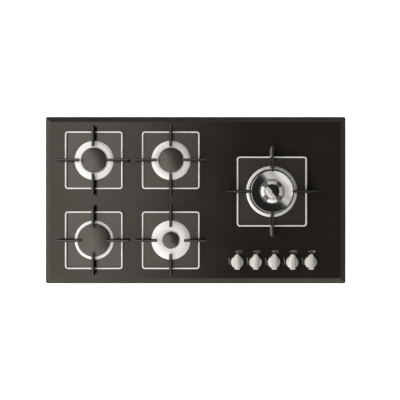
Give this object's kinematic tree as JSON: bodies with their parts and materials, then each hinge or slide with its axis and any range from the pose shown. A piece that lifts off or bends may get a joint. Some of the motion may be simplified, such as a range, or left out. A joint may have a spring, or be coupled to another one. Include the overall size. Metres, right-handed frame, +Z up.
{
  "type": "gas cooktop",
  "caption": "Built-in gas cooktop with bevelled black glass, round burners, square pan supports with cast fingers, a large wok burner and a row of metal knobs.",
  "frame": {"origin": "middle of the glass in plan, on the worktop's plane, which is the underside of the seal; the pan hangs below it", "axes": "+X to the user's right along the longest side, +Y to the rear, +Z up"},
  "size_m": [0.9, 0.5, 0.101],
  "materials": {
    "glass": "black toughened glass, polished",
    "seal": "foam strip, matt",
    "pan": "zinc-coated sheet",
    "tray": "matt black enamel",
    "trim": "satin",
    "cup": "as cast",
    "injector": "machined",
    "electrode": "glazed ceramic",
    "sensor": "bright drawn",
    "spreader": "fine cast, satin",
    "cap": "satin black enamel",
    "wok_ring": "fine satin",
    "support_frame": "satin",
    "finger": "black enamel",
    "foot": "matt",
    "knob": "brushed lengthways",
    "spindle": "turned",
    "plug": "ground and greased",
    "tap": "die-cast",
    "manifold": "zinc-plated tube",
    "feed_tube": "drawn",
    "elbow": "machined",
    "gland": "moulded",
    "rail": "zinc-coated strip",
    "bracket": "zinc-coated strip",
    "screw": "zinc-plated",
    "module": "moulded"
  },
  "bodies": {
    "hob": {"glass_top": "glass", "worktop_seal": "seal", "base_pan": "pan", "burner_trays": "tray", "trim_rings": "trim", "burner_cups": "cup", "injectors": "injector", "spark_electrodes": "electrode", "flame_sensors": "sensor", "gas_taps": "tap", "gas_manifold": "manifold", "feed_tubes": "feed_tube", "inlet_elbow": "elbow", "cable_gland": "gland", "support_rails": "rail", "clamp_brackets": "bracket", "fixing_screws": "screw", "ignition_module": "module"},
    "pan_support_left_rear": {"left_rear_support_frame": "support_frame", "left_rear_support_fingers": "finger", "left_rear_support_feet": "foot"},
    "spreader_left_rear": {"left_rear_flame_spreader": "spreader"},
    "cap_left_rear": {"left_rear_cap": "cap"},
    "pan_support_left_front": {"left_front_support_frame": "support_frame", "left_front_support_fingers": "finger", "left_front_support_feet": "foot"},
    "spreader_left_front": {"left_front_flame_spreader": "spreader"},
    "cap_left_front": {"left_front_cap": "cap"},
    "pan_support_middle_rear": {"middle_rear_support_frame": "support_frame", "middle_rear_support_fingers": "finger", "middle_rear_support_feet": "foot"},
    "spreader_middle_rear": {"middle_rear_flame_spreader": "spreader"},
    "cap_middle_rear": {"middle_rear_cap": "cap"},
    "pan_support_middle_front": {"middle_front_support_frame": "support_frame", "middle_front_support_fingers": "finger", "middle_front_support_feet": "foot"},
    "spreader_middle_front": {"middle_front_flame_spreader": "spreader"},
    "cap_middle_front": {"middle_front_cap": "cap"},
    "pan_support_wok": {"wok_support_frame": "support_frame", "wok_support_fingers": "finger", "wok_support_feet": "foot"},
    "spreader_wok": {"wok_flame_spreader": "spreader"},
    "cap_wok_ring": {"wok_ring_cap": "wok_ring"},
    "spreader_wok_inner": {"wok_inner_spreader": "spreader"},
    "cap_wok_inner": {"wok_inner_cap": "wok_ring"},
    "plug_1": {"tap_plug_1": "plug"},
    "control_1": {"knob_1": "knob", "spindle_1": "spindle"},
    "plug_2": {"tap_plug_2": "plug"},
    "control_2": {"knob_2": "knob", "spindle_2": "spindle"},
    "plug_3": {"tap_plug_3": "plug"},
    "control_3": {"knob_3": "knob", "spindle_3": "spindle"},
    "plug_4": {"tap_plug_4": "plug"},
    "control_4": {"knob_4": "knob", "spindle_4": "spindle"},
    "plug_5": {"tap_plug_5": "plug"},
    "control_5": {"knob_5": "knob", "spindle_5": "spindle"}
  },
  "joints": [
    {"name": "lift_pan_support_left_rear", "type": "slide", "parent": "hob", "child": "pan_support_left_rear", "axis": [0, 0, 1], "range_m": [0, 0.06]},
    {"name": "lift_spreader_left_rear", "type": "slide", "parent": "hob", "child": "spreader_left_rear", "axis": [0, 0, 1], "range_m": [0, 0.03]},
    {"name": "lift_cap_left_rear", "type": "slide", "parent": "spreader_left_rear", "child": "cap_left_rear", "axis": [0, 0, 1], "range_m": [0, 0.025]},
    {"name": "lift_pan_support_left_front", "type": "slide", "parent": "hob", "child": "pan_support_left_front", "axis": [0, 0, 1], "range_m": [0, 0.06]},
    {"name": "lift_spreader_left_front", "type": "slide", "parent": "hob", "child": "spreader_left_front", "axis": [0, 0, 1], "range_m": [0, 0.005]},
    {"name": "lift_cap_left_front", "type": "slide", "parent": "spreader_left_front", "child": "cap_left_front", "axis": [0, 0, 1], "range_m": [0, 0.005]},
    {"name": "lift_pan_support_middle_rear", "type": "slide", "parent": "hob", "child": "pan_support_middle_rear", "axis": [0, 0, 1], "range_m": [0, 0.06]},
    {"name": "lift_spreader_middle_rear", "type": "slide", "parent": "hob", "child": "spreader_middle_rear", "axis": [0, 0, 1], "range_m": [0, 0.03]},
    {"name": "lift_cap_middle_rear", "type": "slide", "parent": "spreader_middle_rear", "child": "cap_middle_rear", "axis": [0, 0, 1], "range_m": [0, 0.025]},
    {"name": "lift_pan_support_middle_front", "type": "slide", "parent": "hob", "child": "pan_support_middle_front", "axis": [0, 0, 1], "range_m": [0, 0.06]},
    {"name": "lift_spreader_middle_front", "type": "slide", "parent": "hob", "child": "spreader_middle_front", "axis": [0, 0, 1], "range_m": [0, 0.03]},
    {"name": "lift_cap_middle_front", "type": "slide", "parent": "spreader_middle_front", "child": "cap_middle_front", "axis": [0, 0, 1], "range_m": [0, 0.025]},
    {"name": "lift_pan_support_wok", "type": "slide", "parent": "hob", "child": "pan_support_wok", "axis": [0, 0, 1], "range_m": [0, 0.06]},
    {"name": "lift_spreader_wok", "type": "slide", "parent": "hob", "child": "spreader_wok", "axis": [0, 0, 1], "range_m": [0, 0.002]},
    {"name": "lift_cap_wok_ring", "type": "slide", "parent": "spreader_wok", "child": "cap_wok_ring", "axis": [0, 0, 1], "range_m": [0, 0.002]},
    {"name": "lift_spreader_wok_inner", "type": "slide", "parent": "spreader_wok", "child": "spreader_wok_inner", "axis": [0, 0, 1], "range_m": [0, 0.03]},
    {"name": "lift_cap_wok_inner", "type": "slide", "parent": "spreader_wok_inner", "child": "cap_wok_inner", "axis": [0, 0, 1], "range_m": [0, 0.025]},
    {"name": "turn_knob_1", "type": "hinge", "parent": "hob", "child": "plug_1", "pos_m": [0.124, -0.185, -0.024], "axis": [0, 0, 1], "range_deg": [0, 210]},
    {"name": "press_knob_1", "type": "slide", "parent": "plug_1", "child": "control_1", "axis": [0, 0, -1], "range_m": [0, 0.0035], "stiffness_N_per_m": 1500, "springref_m": -0.002},
    {"name": "turn_knob_2", "type": "hinge", "parent": "hob", "child": "plug_2", "pos_m": [0.179, -0.185, -0.024], "axis": [0, 0, 1], "range_deg": [0, 210]},
    {"name": "press_knob_2", "type": "slide", "parent": "plug_2", "child": "control_2", "axis": [0, 0, -1], "range_m": [0, 0.0035], "stiffness_N_per_m": 1500, "springref_m": -0.002},
    {"name": "turn_knob_3", "type": "hinge", "parent": "hob", "child": "plug_3", "pos_m": [0.234, -0.185, -0.024], "axis": [0, 0, 1], "range_deg": [0, 210]},
    {"name": "press_knob_3", "type": "slide", "parent": "plug_3", "child": "control_3", "axis": [0, 0, -1], "range_m": [0, 0.0035], "stiffness_N_per_m": 1500, "springref_m": -0.002},
    {"name": "turn_knob_4", "type": "hinge", "parent": "hob", "child": "plug_4", "pos_m": [0.289, -0.185, -0.024], "axis": [0, 0, 1], "range_deg": [0, 210]},
    {"name": "press_knob_4", "type": "slide", "parent": "plug_4", "child": "control_4", "axis": [0, 0, -1], "range_m": [0, 0.0035], "stiffness_N_per_m": 1500, "springref_m": -0.002},
    {"name": "turn_knob_5", "type": "hinge", "parent": "hob", "child": "plug_5", "pos_m": [0.344, -0.185, -0.024], "axis": [0, 0, 1], "range_deg": [0, 210]},
    {"name": "press_knob_5", "type": "slide", "parent": "plug_5", "child": "control_5", "axis": [0, 0, -1], "range_m": [0, 0.0035], "stiffness_N_per_m": 1500, "springref_m": -0.002}
  ]
}
